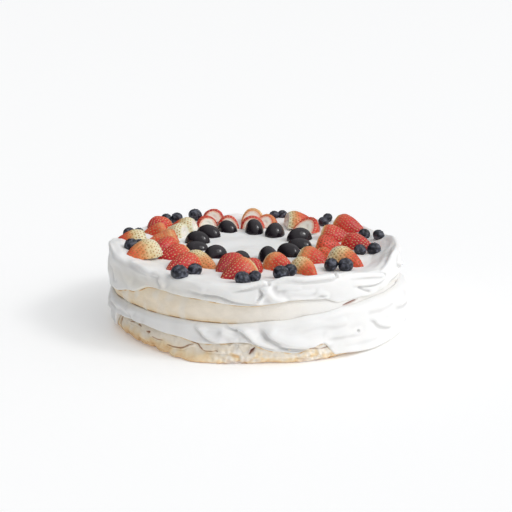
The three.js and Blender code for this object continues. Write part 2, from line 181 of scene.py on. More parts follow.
# ---- cracks in the crust: (path of (angle, height), depth) ----
LOWER_CRACKS = [
    ([(-146.6, 16.4), (-142.6, 17.4), (-139, 16.2)], 1.0),
    ([(-135.2, 14.3), (-133.6, 14.2), (-132.4, 13.4)], 1.8),
    ([(-132.3, 12.8), (-129.6, 11), (-126.5, 11.1)], 0.7),
    ([(-124.4, 9), (-120.9, 8.3), (-117.9, 8.8), (-115.3, 12), (-113.5, 13.3)], 0.9),
    ([(-114.4, 15), (-112.6, 14), (-111.7, 13.2), (-110.3, 11), (-109, 9.3), (-104.3, 9.9)], 0.9),
    ([(-157, 21), (-154.8, 16), (-155.2, 9.6), (-153.4, 3)], 4.0),
    ([(-93.2, 9), (-92.4, 11.4), (-91.5, 13.4)], 3.0),
    ([(-72, 12), (-67, 11), (-64.5, 12)], 0.8),
    ([(66, 14), (72, 10), (80, 9.5)], 1.0),
    ([(112, 12), (118, 8.5), (127, 8)], 1.0),
    ([(150, 10), (157, 12), (165, 9)], 1.0),
]
UPPER_CRACKS = [
    ([(-57.6, 42.9), (-56, 43.3), (-54, 43.8), (-52, 44.5), (-50, 45.2)], 2.0),
]

# ---- camera and light ----
CAMERA = (-3.42, -950.36, 294.9)
LOOKS_DOWN, ROLL = 14.1, 0.71                       # degrees
FOCAL_LENGTH, IMAGE_WIDTH = 1100.5, 512             # pixels
SUNS = ((46, 64, 0.54, 40), (50, 74, 0.57, 14))     # tilt, turn, strength, width in degrees

# ---- fruit: rows of one fruit, or of two that touch and make one piece ----
# Strawberry halves: (x, y, heading of the tip in degrees, length, width, height, lift), then how
# ripe the skin is at the shoulder and at the tip, from 0 pale to 1 crimson, and how dark the seeds.
# Some rows go on with how far the cut end leans back, and where along the fruit it starts to redden.
LEAN_AND_START = (0.12, 0.05)   # in all the other rows
STRAWBERRIES = [
    [(-20, -94, -132, 33, 26, 14.5, 3, 0.4, 0.94, 0.1)],
    [(-27, -67, -119, 34, 24, 11, 3, 0.8, 1.0, 0.3)],
    [(-4, -73, -72, 28, 19, 8.4, 3, 0.7, 0.9, 0.1)],
    [(-46, -58.5, -47, 34, 23, 11.5, 3, 0.15, 0.4, 0.7, 0.12, 0.2)],
    [(-66.6, -71, -124, 35, 23, 10.6, 6, 0.62, 0.9, 0.1)],
    [(-102.6, -40.4, -141, 34, 25.5, 14, 4.5, 0.04, 0.53, 0.6, 0.12, 0.05)],
    [(-76, -32, -144, 28, 25, 11, 3, 0.6, 0.9, 0.1)],
    [(-86, -3, -120, 30, 20, 10, 3, 0.62, 0.9, 0.2)],
    [(-89, 25, -168, 31, 25, 11, 4, 0.38, 0.56, 0.1, 0.35)],
    [(-117, 13, -164, 29, 21, 9.5, 3, 0.04, 0.7, 0.5, 0.12, 0.15)],
    [(-98, 53, -170, 26, 22, 10.5, 3, 0.42, 0.62, 0.2, 0.4)],
    [(-98, 68.5, -115, 25, 24.5, 10.8, 2, 0.6, 0.92, 0.1)],
    [(-81, 53, 160, 27, 23, 12.5, 3, 0.04, 0.9, 0.5, 0.2, 0.55)],
    [(-75, 73, 170, 29, 23, 13, 3, 0.08, 1.0, 0.4, 0.2, 0.25)],
    [(-52, 95, 100, 26, 21, 10, 3, 0.72, 0.9, 0.3, 0.5),
     (-45, 110, 95, 24, 22, 12, 3, 0.8, 0.94, 0.3, 0.5)],
    [(-31, 91, 100, 26, 21, 13, 4, 0.66, 0.8, 0.2, 0.4)],
    [(-6.6, 92.5, 92, 27, 23.6, 12.2, 5, 0.68, 0.8, 0.2, 0.4),
     (-6, 108, 88, 24, 23, 14, 4, 0.3, 0.5, 0.3, 0.7)],
    [(9.5, 99, 62, 27, 22, 12, 4, 0.42, 0.8, 0.5, 0.8)],
    [(49, 79, 50, 29, 26, 13.5, 4, 0.62, 0.86, 0.2, 1.0),
     (42, 93, 10, 34, 26, 15.5, 4, 0.12, 0.84, 0.6, 0.12, -0.2)],
    [(87, 70, -23, 32, 27, 15, 5, 0.5, 0.86, 0.3, 0.12, -0.2)],
    [(73, 41, -13, 32, 25.5, 14, 4, 0.46, 0.86, 0.0, 0.12, -0.3)],
    [(91.3, 6, -34, 31, 25, 13.5, 4, 0.8, 0.88, 0.1)],
    [(64, 5.5, -14, 26, 23, 13, 4, 0.62, 0.74, 0.95)],
    [(60, -23, -31, 19, 15, 9, 2, 0.5, 0.66, 0.8)],
    [(76, -48, -43, 31, 26, 15, 2, 0.06, 0.6, 0.75, 0.12, 0.02)],
    [(48, -42, -27, 28, 25, 13.5, 3, 0.36, 0.76, 0.3)],
    [(39, -78, -55, 26, 21, 12.5, 3, 0.08, 0.6, 0.5, 0.12, 0.08)],
    [(18.5, -70, -45, 26, 23, 14, 4, 0.4, 0.74, 0.2)],
]

# Grape halves: (x, y, heading, length, width, height).
GRAPES = [
    (37, 38, 27, 25, 18, 12.5), (14.5, 57, 76, 23, 18.5, 12.5), (-5, 68, 94, 24, 18, 13),
    (-31, 71, 128, 23, 18, 11), (-48, 52, 150, 25, 18, 11), (-56.5, 24, 165, 24, 18, 12),
    (-56, -4, 186, 22, 17, 8.5), (-38, -29, 212, 22, 18, 11.5), (-16, -50, 250, 23, 18, 12),
    (7.5, -38, 282, 23, 18, 13), (25.5, -21, 322, 24, 18, 12), (36, 10, 355, 24, 17, 10),
]

# Blueberries: (x, y, size, how far it is raised where it leans on others).
BLUEBERRIES = [
    [(-13, -118, 13.9, -2.2), (-4, -112.8, 11.2, 0)],
    [(-63.4, -109, 15, -2.8)],
    [(-52.4, -94, 13, -1)],
    [(-111, -27.4, 12.8, 0), (-104.4, -20, 11.3, 2.2)],
    [(-118.3, 23, 12, 1.0), (-110, 27.5, 11, 2.0)],
    [(-89.8, 88, 11.3, 0.2), (-80.2, 91.6, 12.2, 0.2)],
    [(-63, 105, 14.2, -0.6)],
    [(14.4, 116.4, 10.8, -0.6), (22.8, 118, 10.4, -0.6)],
    [(66.4, 100.4, 10.5, 0), (62, 92.6, 11, -0.4)],
    [(97, 43, 11.5, 0)],
    [(108.8, 29, 11.5, -0.8)],
    [(88, -16, 11.6, 0)],
    [(100.5, -11.6, 13, -0.4)],
    [(59.2, -68.6, 12.4, 0.3)],
    [(71.3, -68.8, 13.2, 0)],
    [(17.4, -100.2, 14.6, -1), (24.6, -90.8, 12.2, 1.2)],
]


# ---- what a user may change ----
def length(name, millimetres, description):
    return FloatProperty(name=name, description=description, default=millimetres * MM, unit="LENGTH")


def colour(name, red_green_blue, description):
    return FloatVectorProperty(
        name=name, description=description, default=red_green_blue, subtype="COLOR", size=3, min=0, max=1)


class PavlovaLayers(PropertyGroup):
    lower_radius: length("Lower disc radius", 128.4, "Radius of the lower meringue")
    lower_top: length("Lower disc height", 18, "Top of the lower meringue")
    upper_radius: length("Upper disc radius", 126.4, "Radius of the upper meringue")
    upper_bottom: length("Upper disc bottom", 31, "Underside of the upper meringue")
    upper_top: length("Upper disc top", 51, "Top of the upper meringue")
    upper_shift: length("Upper disc shift", 4.2, "How far the upper meringue sits to the left")
    disc_edge: length("Disc edge", 4.5, "Rounding of a meringue's rim")
    filling_radius: length("Filling radius", 131.2, "Radius of the cream between the discs")
    topping_radius: length("Topping radius", 129, "Radius of the cream on top")
    topping_level: length("Topping level", 62.5, "Height of the cream's flat middle")
    swirl: length("Swirl", 0.5, "Height of the spatula's spiral in the middle")
    rim_width: length("Rim width", 30, "Width over which the top rises to its rim")
    lip: length("Lip", 4, "Rounding of the cream's rim")
    sunk: length("Fruit sunk", 1.2, "How far the fruit presses into the cream")


class PavlovaFruit(PropertyGroup):
    seed_spacing: length("Seed spacing", 3.1, "Distance between a strawberry's seeds")
    seed_length: length("Seed length", 1.45, "Length of a strawberry's seed")
    dimple: length("Dimple", 0.55, "Depth of the dimple round a seed")


class PavlovaColours(PropertyGroup):
    cream: colour("Cream", (0.9, 0.895, 0.885), "Whipped cream")
    crust: colour("Crust", (0.95, 0.868, 0.748), "Pale meringue crust")
    # this colour also serves painted shade on the shaded side and a painted warm reflection at the base
    browned: colour("Browned crust", (0.56, 0.34, 0.18), "Golden meringue at edges and at the base")
    crack: colour("Crack", (0.3, 0.1, 0.055), "Inside of a crack in the crust")
    flesh: colour("Strawberry flesh", (0.9, 0.86, 0.76), "Pale face of a hulled strawberry")
    grape: colour("Grape", (0.012, 0.008, 0.012), "Skin of a dark grape")
    blueberry: colour("Blueberry", (0.01, 0.011, 0.018), "Skin of a blueberry")
    bloom: colour("Bloom", (0.16, 0.17, 0.22), "Dusty bloom on a blueberry")


# ---- numbers ----
def smooth(part):
    """0 below 0, 1 above 1, and smooth between them."""
    part = np.clip(part, 0, 1)
    return part * part * (3 - 2 * part)


def mix(a, b, part):
    return a + (b - a) * part


def hump(distance, width):
    """A soft hump that is 1 high in its middle."""
    return np.exp(-(distance / width) ** 2)


def turned(angle, middle):
    """Degrees from a middle round to an angle, from -180 to 180."""
    return (angle - middle + 180) % 360 - 180


def place(angle, middle_and_width):
    """1 in the middle of a place round the cake, and 0 far from it."""
    middle, width = middle_and_width
    return hump(turned(angle, middle), width)


def around(rows, angle):
    """The value at each angle of a closed curve through (angle, value) rows, smooth between them."""
    angles, values = np.array(rows + [rows[0]], float).T
    steps = (angles - angles[0]) % 360
    steps[-1] = 360
    start = (angle - angles[0]) % 360
    i = np.clip(np.searchsorted(steps, start, side="right") - 1, 0, len(rows) - 1)
    return mix(values[i], values[i + 1], smooth((start - steps[i]) / (steps[i + 1] - steps[i])))


def wobble(angle, seed):
    """A soft uneven wobble round the cake, about 1 high."""
    a = np.radians(angle)
    return 0.5 * np.sin(3 * a + seed) + 0.35 * np.sin(7 * a + 2.3 * seed) + 0.25 * np.sin(13 * a - seed)


def lumps(points, size, seed):
    """Soft uneven noise about 1 high, with lumps of a size, at points along the last axis."""
    draw = np.random.default_rng(seed)
    total = np.zeros(points.shape[:-1])
    for _ in range(10):
        direction = draw.normal(size=3)
        direction *= math.pi * draw.uniform(0.6, 1.5) / (size * np.linalg.norm(direction))
        total += np.sin(points @ direction + draw.uniform(0, 2 * math.pi))
    return total / 3


def curve(points, steps=6):
    """Points along a smooth curve through the given ones."""
    points = np.array(points, float)
    ends = np.vstack([2 * points[0] - points[1], points, 2 * points[-1] - points[-2]])
    part = np.linspace(0, 1, steps, endpoint=False)[:, None]
    pieces = []
    for before, start, end, after in zip(ends, ends[1:], ends[2:], ends[3:]):
        pieces.append(0.5 * (
            2 * start + (end - before) * part + (2 * before - 5 * start + 4 * end - after) * part ** 2
            + (3 * start - before - 3 * end + after) * part ** 3))
    return np.vstack(pieces + [points[-1:]])


def from_path(path, radius, angle, height, reach):
    """Distance from a path of (angle, height) on a side of a radius, whether it is left of it, and how
    far along it from 0 to 1, for each angle and height. Beyond reach the distance is left endless."""
    first = path[0][0]
    places = np.stack([np.radians(turned(angle, first)) * radius, height], -1).reshape(-1, 2)
    route = curve(path) - (first, 0)
    route[:, 0] = np.radians(route[:, 0]) * radius
    near = np.all((places > route.min(0) - reach) & (places < route.max(0) + reach), 1)
    found = np.tile([[np.inf], [0], [0]], len(places))
    here = places[near]
    best, left, along = found[:, near]
    for i, (start, end) in enumerate(zip(route, route[1:])):
        step = end - start
        part = np.clip((here - start) @ step / (step @ step), 0, 1)
        off = here - start - part[:, None] * step
        distance = np.hypot(*off.T)
        closer = distance < best
        best = np.where(closer, distance, best)
        left = np.where(closer, step[0] * off[:, 1] > step[1] * off[:, 0], left)
        along = np.where(closer, (i + part) / (len(route) - 1), along)
    found[:, near] = best, left, along
    return found.reshape(3, *angle.shape)


def pressed(marks, radius, angle, height):
    """How far the spatula's marks raise the cream at each angle and height. A ridge has a shallow
    groove along its steeper side, and both of its ends run out softly."""
    total = np.zeros(angle.shape)
    for path, rise, soft_left, soft_right in marks:
        away, left, along = from_path(path, radius, angle, height, 3 * max(soft_left, soft_right))
        shape = hump(away, np.where(left, soft_left, soft_right))
        if soft_left != soft_right:
            steep = min(soft_left, soft_right)
            beside = left == (soft_left < soft_right)
            shape -= GROOVE * beside * hump(away - 2.2 * steep, steep)
        total += PRESS * rise * shape * smooth(along / 0.22) * smooth((1 - along) / 0.18)
    return total


def hollows(relief):
    """How far each point lies below its surroundings, up to 1, on a grid of columns and rings. The cream gets
    painted shade there.
    """
    level = relief
    for axis, reach in ((0, 4), (1, 6)):
        level = sum(np.roll(level, step, axis) for step in range(-reach, reach + 1)) / (2 * reach + 1)
    return np.clip((level - relief) / 0.5, 0, 1)


# ---- shader nodes ----
class Socket:
    """A node's output that adds Math nodes when it is used in a sum."""

    def __init__(self, shader, output):
        self.shader = shader
        self.output = output

    def maths(self, operation, *values):
        return self.shader.node("ShaderNodeMath", {"operation": operation}, dict(enumerate(values)))

    def __add__(self, other):
        return self.maths("ADD", self, other)

    def __radd__(self, other):
        return self.maths("ADD", other, self)

    def __sub__(self, other):
        return self.maths("SUBTRACT", self, other)

    def __rsub__(self, other):
        return self.maths("SUBTRACT", other, self)

    def __mul__(self, other):
        return self.maths("MULTIPLY", self, other)

    def __rmul__(self, other):
        return self.maths("MULTIPLY", other, self)

    def between(self, low, high):
        """0 below low, 1 above high, and smooth between them."""
        inputs = {"Value": self, "From Min": low, "From Max": high}
        return self.shader.node("ShaderNodeMapRange", {"interpolation_type": "SMOOTHSTEP"}, inputs)


class Shader:
    """The nodes of one material, or of the world."""

    def __init__(self, owner, surface="Principled BSDF", coordinates="Object"):
        self.owner = owner
        self.owner.use_nodes = True
        self.tree = self.owner.node_tree
        self.surface = self.tree.nodes[surface]
        self.place = self.node("ShaderNodeTexCoord", {}, {}, coordinates)

    def node(self, kind, settings, inputs, output=0):
        """Adds a node with its settings and the values or links of its sockets."""
        node = self.tree.nodes.new(kind)
        for name, value in settings.items():
            setattr(node, name, value)
        for name, value in inputs.items():
            self.connect(node.inputs[name], value)
        return Socket(self, node.outputs[output])

    def connect(self, socket, value):
        if isinstance(value, Socket):
            self.tree.links.new(value.output, socket)
        elif hasattr(value, "__len__") and socket.type == "RGBA":
            socket.default_value = (*value, 1)
        else:
            socket.default_value = value

    def finish(self, **inputs):
        """Sets the surface's sockets, named with _ for each space, and returns the finished owner."""
        for name, value in inputs.items():
            self.connect(self.surface.inputs[name.replace("_", " ")], value)
        return self.owner

    def attribute(self, name):
        return self.node("ShaderNodeAttribute", {"attribute_name": name}, {}, "Fac")

    def noise(self, size, detail=3, stretch=(1, 1, 1)):
        """Noise with lumps of a size in millimetres, drawn out along an axis by its stretch."""
        scale = [1 / factor for factor in stretch]
        drawn_out = self.node("ShaderNodeMapping", {}, {"Vector": self.place, "Scale": scale})
        inputs = {"Vector": drawn_out, "Scale": 1 / (size * MM), "Detail": detail}
        return self.node("ShaderNodeTexNoise", {}, inputs)

    def blend(self, factor, a, b, how="MIX"):
        inputs = {"Factor": factor, 6: a, 7: b}
        return self.node("ShaderNodeMix", {"data_type": "RGBA", "blend_type": how}, inputs, 2)

    def ramp(self, factor, stops):
        """The colour that a ramp of (position, colour) stops has at a factor."""
        shade = self.node("ShaderNodeValToRGB", {}, {"Fac": factor})
        elements = shade.output.node.color_ramp.elements
        while len(elements) < len(stops):
            elements.new(1)
        for element, (position, stop) in zip(elements, stops):
            element.position = position
            element.color = (*stop, 1)
        return shade

    def bump(self, height, depth, normal=None):
        """A bump that is depth millimetres high where height is 1."""
        inputs = {"Height": height, "Distance": depth * MM}
        if normal:
            inputs["Normal"] = normal
        return self.node("ShaderNodeBump", {}, inputs)


# ---- finishes ----
def times(shade, factor):
    return [min(1, factor * part) for part in shade]


def cream_finish(colours):
    shader = Shader(bpy.data.materials.new("whipped_cream"))
    cloudy = shader.noise(16, 4)
    strokes = shader.noise(1.8, stretch=(5, 5, 1))
    fine = shader.noise(0.8)
    shade = shader.blend(cloudy.between(0.35, 0.75) * 0.4, colours.cream, times(colours.cream, 0.96))
    shade = shader.blend(shader.attribute("thin"), shade, (0.76, 0.71, 0.6))
    # painted shade: the cream turns grey in the creases and hollows of its relief
    shade = shader.blend(shader.attribute("hollow") * 0.75, shade, (0.6, 0.59, 0.58))
    return shader.finish(
        Base_Color=shade,
        Roughness=0.42 + 0.14 * cloudy,
        Normal=shader.bump(fine, 0.04, shader.bump(strokes, 0.2)),
        Subsurface_Weight=0.3,
        Subsurface_Radius=(1.0, 0.9, 0.8),
        Subsurface_Scale=0.002,
        Specular_IOR_Level=0.35,
    )


def crust_finish(colours):
    shader = Shader(bpy.data.materials.new("meringue_crust"))
    streaks = shader.noise(5, stretch=(1.6, 1.6, 1))
    patches = shader.noise(12, 4)
    grain = shader.noise(1.0)
    shade = shader.blend(streaks.between(0.3, 0.7), times(colours.crust, 0.96), times(colours.crust, 1.03))
    shade = shader.blend(patches.between(0.5, 0.8) * 0.3, shade, (0.76, 0.62, 0.45))
    # browned crust, which also carries painted shade on the shaded side and a painted golden reflection at
    # the base
    browned = shader.attribute("browned") * (0.5 + shader.noise(2.6, 4))
    golden = shader.ramp(browned, [
        (0.0, (1, 1, 1)), (0.35, (1.0, 0.89, 0.69)), (0.7, (0.92, 0.68, 0.42)), (1.0, colours.browned)])
    shade = shader.blend(1.0, shade, golden, "MULTIPLY")
    # the cream's colour paints the upper meringue's lit side whiter as painted light, and whitens the lower
    # one's crumbly spots
    shade = shader.blend(shader.attribute("smeared") * (0.6 + 0.5 * patches), shade, colours.cream)
    shade = shader.blend(shader.attribute("crack"), shade, colours.crack)
    return shader.finish(
        Base_Color=shade,
        Roughness=0.72 + 0.2 * patches,
        Normal=shader.bump(grain.between(0.3, 0.7) + patches * 0.6, 0.12),
        Specular_IOR_Level=0.3,
    )


def strawberry_finish(colours):
    shader = Shader(bpy.data.materials.new("strawberry"))
    fibres = shader.noise(1.6)
    ripe = shader.attribute("ripe") + (shader.noise(6) - 0.5) * 0.35
    skin = shader.ramp(ripe, [
        (0.0, (0.84, 0.83, 0.6)), (0.2, (0.8, 0.66, 0.36)), (0.4, (0.76, 0.29, 0.1)),
        (0.58, (0.72, 0.09, 0.038)), (0.8, (0.6, 0.024, 0.022)), (1.0, (0.38, 0.012, 0.02))])
    dimple = shader.attribute("dimple")
    # painted shade: the skin is darkened in the dimple round each seed
    skin = shader.blend(dimple * 0.75, skin, (0.8, 0.52, 0.4), "MULTIPLY")
    inside = shader.attribute("flesh")
    rind = shader.blend(ripe.between(0.15, 0.6), (0.86, 0.8, 0.6), (0.84, 0.34, 0.2))
    flesh = shader.blend((inside + fibres * 0.8).between(0.35, 1.1), rind, colours.flesh)
    shade = shader.blend(inside.between(0.02, 0.12), skin, flesh)
    seed = shader.ramp(shader.attribute("seed_tone") + (shader.noise(3, 1) - 0.5) * 0.4, [
        (0.0, (0.84, 0.6, 0.32)), (0.5, (0.5, 0.28, 0.07)), (1.0, (0.12, 0.08, 0.02))])
    return shader.finish(
        Base_Color=shader.blend(shader.attribute("seed"), shade, seed),
        Roughness=0.26 + 0.2 * dimple,
        Normal=shader.bump(shader.noise(0.8, 2) + fibres * 0.5, 0.05),
        Subsurface_Weight=0.1,
        Subsurface_Radius=(1.0, 0.3, 0.2),
        Subsurface_Scale=0.0012,
        Specular_IOR_Level=0.42,
    )


def grape_finish(colours):
    shader = Shader(bpy.data.materials.new("grape_skin"))
    dusty = shader.noise(4, 4).between(0.5, 0.8)
    return shader.finish(
        Base_Color=shader.blend(dusty * 0.4, colours.grape, times(colours.grape, 5)),
        Roughness=0.12 + 0.22 * dusty,
        Normal=shader.bump(shader.noise(1.2, 2), 0.012),
        Specular_IOR_Level=0.42,
    )


def blueberry_finish(colours):
    shader = Shader(bpy.data.materials.new("blueberry_skin"))
    bloom = shader.noise(3, 4).between(0.4, 0.75)
    shade = shader.blend(bloom * 0.85, colours.blueberry, colours.bloom)
    shade = shader.blend(shader.attribute("crown") * 0.7, shade, (0.02, 0.016, 0.016))
    return shader.finish(
        Base_Color=shade,
        Roughness=0.32 + 0.3 * bloom,
        Normal=shader.bump(shader.noise(0.9), 0.03),
        Specular_IOR_Level=0.35,
    )


# ---- pieces ----
def rolled(points, **attributes):
    """A closed piece rolled up from a grid of points, by ring and by side. The sides meet, and the first
    and the last ring each close to one point. An attribute has a value for each point."""
    rings, sides = points.shape[0] - 1, points.shape[1]
    bpy.ops.mesh.primitive_grid_add(x_subdivisions=sides, y_subdivisions=rings, size=1, calc_uvs=False)
    piece = bpy.context.object
    sheet = np.empty(3 * len(piece.data.vertices))
    piece.data.vertices.foreach_get("co", sheet)
    across, up, _ = sheet.reshape(-1, 3).T
    cell = (np.round((up + 0.5) * rings).astype(int), np.round((across + 0.5) * sides).astype(int) % sides)
    piece.data.vertices.foreach_set("co", (points[cell] * MM).ravel())
    for name, values in attributes.items():
        set_attribute(piece, name, np.broadcast_to(values, points.shape[:2])[cell])
    bpy.ops.object.mode_set(mode="EDIT")
    bpy.ops.mesh.select_all(action="SELECT")
    bpy.ops.mesh.remove_doubles(threshold=1e-6)
    bpy.ops.mesh.normals_make_consistent(inside=False)
    bpy.ops.object.mode_set(mode="OBJECT")
    bpy.ops.object.shade_smooth()
    return piece


def set_attribute(piece, name, values):
    attribute = piece.data.attributes.new(name, "FLOAT", "POINT")
    attribute.data.foreach_set("value", values.astype(np.float32))


def join(pieces):
    bpy.ops.object.select_all(action="DESELECT")
    for piece in pieces:
        piece.select_set(True)
    bpy.context.view_layer.objects.active = pieces[0]
    if len(pieces) > 1:
        bpy.ops.object.join()
    return pieces[0]


def finish_piece(piece, name, finish, node):
    """Names a piece and gives it its finish. It then stands for a node of the frame."""
    piece.name = name
    piece.data.name = name
    piece.data.materials.append(finish)
    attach(piece, "root")
    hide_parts(node)


# ---- the layers ----
class Cake:
    """The sizes in millimetres and the colours that a user may change, and the layers' shapes."""

    def __init__(self, scene):
        self.colours = scene.pavlova_colours
        for sizes in (scene.pavlova_layers, scene.pavlova_fruit):
            for name in sizes.__annotations__:
                setattr(self, name, getattr(sizes, name) / MM)

    def lower(self, angle):
        """Radius in the middle of its side, top and bottom of the lower meringue."""
        return self.lower_radius + 0.8 * wobble(angle, 1), self.lower_top + 0.6 * wobble(angle, 2), 0 * angle

    def upper(self, angle):
        """The same of the upper meringue."""
        radius = self.upper_radius - self.upper_shift * np.cos(np.radians(angle)) + 0.6 * wobble(angle, 4)
        top = self.upper_top + 2.6 * place(angle, BULGE) + 0.5 * wobble(angle, 5)
        return radius, top, self.upper_bottom + 0.5 * wobble(angle, 3)

    def disc_side(self, disc, angle, height):
        """Radius of a disc's rounded side at a height."""
        radius, top, bottom = disc(angle)
        part = np.clip((2 * height - top - bottom) / (top - bottom), -1, 1)
        belly = 1.2 * np.sin(math.pi * np.clip(height / top, 0, 1)) if disc == self.lower else 0
        return radius + belly - self.disc_edge * (1 - (1 - part ** 2) ** 0.3)

    def against(self, disc, angle, height):
        """Radius of the cream that lies against a disc's side at a height."""
        return self.disc_side(disc, angle, height) + CLEARANCE

    def filling_side(self, angle):
        """Radius of the filling, less some room for its ridges."""
        return self.filling_radius + 1.8 * np.abs(np.cos(np.radians(angle))) + 0.5 * wobble(angle, 6) - 0.8

    def topping_side(self, angle):
        """Radius of the cream on top, less some room for its ridges."""
        shift = self.upper_shift + 0.4
        return self.topping_radius - shift * np.cos(np.radians(angle)) + 0.5 * wobble(angle, 8) - 0.6

    def topping_top(self, angle, radius):
        """Height of the cream's top before the finer marks of the spatula."""
        spiral = smooth(radius / 15) * np.sin(0.16 * radius - 2 * np.radians(angle))
        start, end = self.topping_radius - self.rim_width, self.topping_radius - self.lip
        part = np.clip((radius - start) / (end - start), 0, 1)
        rise = 0.4 * part + 0.6 * smooth(part)
        return mix(self.topping_level + self.swirl * spiral, around(RIM, angle), rise)


def columns(count):
    """Angles of so many steps round the cake, closer together at its front."""
    turn = np.linspace(0, 360, count, endpoint=False)
    return (turn - math.degrees(0.3) * np.cos(np.radians(turn)))[:, None]


def spots(angle, out, high):
    """Points at angles, radii and heights round the layers' middle."""
    turn = np.radians(angle)
    return np.stack([out * np.cos(turn) + CENTRE[0], out * np.sin(turn) + CENTRE[1], high], -1)


def lofted(angle, out, high, **attributes):
    """A closed body from its profile at each angle, from its top centre to its bottom centre."""
    return rolled(
        spots(angle, out, high).swapaxes(0, 1), **{name: values.T for name, values in attributes.items()})


def arc(start_out, start_high, end_out, end_high, steps, outwards_first):
    """A quarter of an ellipse between two points of a profile, as columns of radius and height."""
    turn = np.linspace(0, math.pi / 2, steps + 1)[1:][None, :]
    fast, slow = np.sin(turn), 1 - np.cos(turn)
    across, down = (fast, slow) if outwards_first else (slow, fast)
    return mix(start_out, end_out, across), mix(start_high, end_high, down)


def straight(start, end, steps):
    return mix(start, end, np.linspace(0, 1, steps + 1)[1:][None, :])


def near_side(out):
    """1 at a disc's side and 0 well inside it, where nothing shows."""
    return smooth((out - 108) / 10)


def crust(cake, disc, plates, cracks, crumbs, tuck):
    """A meringue disc's profiles, with how deep in a crack each point is."""
    angle = columns(DISC_COLUMNS)
    _, top, bottom = disc(angle)
    height = (top + bottom) / 2 + (top - bottom) / 2 * np.cos(np.linspace(0, math.pi, DISC_RINGS))
    side = cake.disc_side(disc, angle, height)
    inwards = np.linspace(0, 1, 8, endpoint=False)[None, :]
    out = np.hstack([side[:, :1] * inwards, side, side[:, -1:] * inwards[:, ::-1]])
    high = np.hstack([top + 0 * inwards, height, bottom + 0 * inwards])
    wide = angle + 0 * out
    points = spots(angle, out, high)
    relief = pressed(plates, cake.lower_radius, wide, high) + 0.3 * lumps(points, 9, 1)
    relief += crumbs * (0.25 * lumps(points, 2.4, 2) - 0.35 * np.abs(lumps(points, 3.4, 3)))
    relief -= tuck * smooth(1 - (high - bottom) / 9)
    crack = np.zeros(out.shape)
    uneven = lumps(points, 5, 4)
    for path, depth in cracks:
        away, _, along = from_path(path, cake.lower_radius, wide, high, 5)
        width = (0.17 + 0.25 * depth) * (0.35 + 0.65 * np.sin(math.pi * along))
        open_here = smooth(0.75 + 0.35 * depth + uneven)
        relief -= depth * open_here * hump(away, width)
        dark = min(1, 0.75 + 0.2 * depth)
        crack = np.maximum(crack, dark * open_here * hump(away, 1.3 * width))
    return wide, out + near_side(out) * relief, high, crack, points


class PAVLOVA_OT_lower_meringue(Operator):
    """Make the lower meringue, with its cracked side and golden base"""
    bl_idname = "pavlova.lower_meringue"
    bl_label = "Lower meringue"

    def execute(self, context):
        cake = Cake(context.scene)
        angle = columns(DISC_COLUMNS)
        crumbly = place(angle, CRUMBLY[0]) + place(angle, CRUMBLY[1])
        wide, out, high, crack, points = crust(
            cake, cake.lower, LOWER_PLATES, LOWER_CRACKS, 0.6 + 2.2 * crumbly, around(LOWER_TUCK, angle))
        uneven = lumps(points, 6, 5)
        start, end = LIFTED
        lifted = smooth(turned(angle, start) / 10) * smooth(-turned(angle, end) / 12)
        out -= 6 * lifted * smooth(1 - (high - 1.1 * uneven) / 3) * near_side(out)
        under_cream = 0.85 * hump(around(FILLING_HEM, wide) - 0.35 - high, 0.4) * smooth(0.7 + uneven)
        # painted shade: on the side away from the light the golden base reaches higher and browner
        left = place(angle, SHADED_SIDE)
        # the golden base and the brown line at its foot are partly the crust's own browning and partly a
        # painted golden reflection of a gold board below
        base = (0.48 + 0.42 * left) * smooth(1 - (high - 1.6 * uneven) / (8 + 7 * left))
        foot = 0.5 * hump(high, 0.8)
        spotted = 0.45 * crumbly * smooth(0.6 + lumps(points, 3, 6)) * smooth(1.6 - high / 9)
        browned = np.clip(under_cream + base + foot + spotted + 0.5 * crack, 0, 1)
        # the crumbly spots are whitened with the cream's colour
        smeared = 0.75 * crumbly * smooth(0.4 + lumps(points, 5, 8))
        piece = lofted(wide, out, high, browned=browned, crack=crack, smeared=smeared)
        finish_piece(piece, "lower_disc", crust_finish(cake.colours), "lower_meringue")
        return {"FINISHED"}


class PAVLOVA_OT_upper_meringue(Operator):
    """Make the upper meringue, with its mottled side"""
    bl_idname = "pavlova.upper_meringue"
    bl_label = "Upper meringue"

    def execute(self, context):
        cake = Cake(context.scene)
        wide, out, high, crack, points = crust(cake, cake.upper, [], UPPER_CRACKS, 0.08, 0)
        _, top, bottom = cake.upper(wide)
        hem = np.minimum(around(TOPPING_HEM, wide), top - 0.6)
        # painted light: the side that faces the light is painted whiter with the cream's colour
        smeared = smooth((85 - np.abs(turned(wide, LIT_SIDE))) / 50)
        toasted_and_painted_light = 1.15 * hump(hem - 0.35 - high, 0.45) + 0.9 * hump(high - bottom - 0.7, 0.7)
        # the band at the bottom edge is browning; the shaded side is painted browner as painted shade and
        # painted warm light from below
        toasted_and_painted_light += 0.22 * smooth(1 - (high - bottom) / 7) + 0.16 * place(wide, SHADED_SIDE)
        browned = np.clip(toasted_and_painted_light * smooth(0.75 + lumps(points, 8, 5)) * (1 - smeared), 0, 1)
        piece = lofted(wide, out, high, browned=browned, crack=crack, smeared=smeared)
        finish_piece(piece, "upper_disc", crust_finish(cake.colours), "upper_meringue")
        return {"FINISHED"}


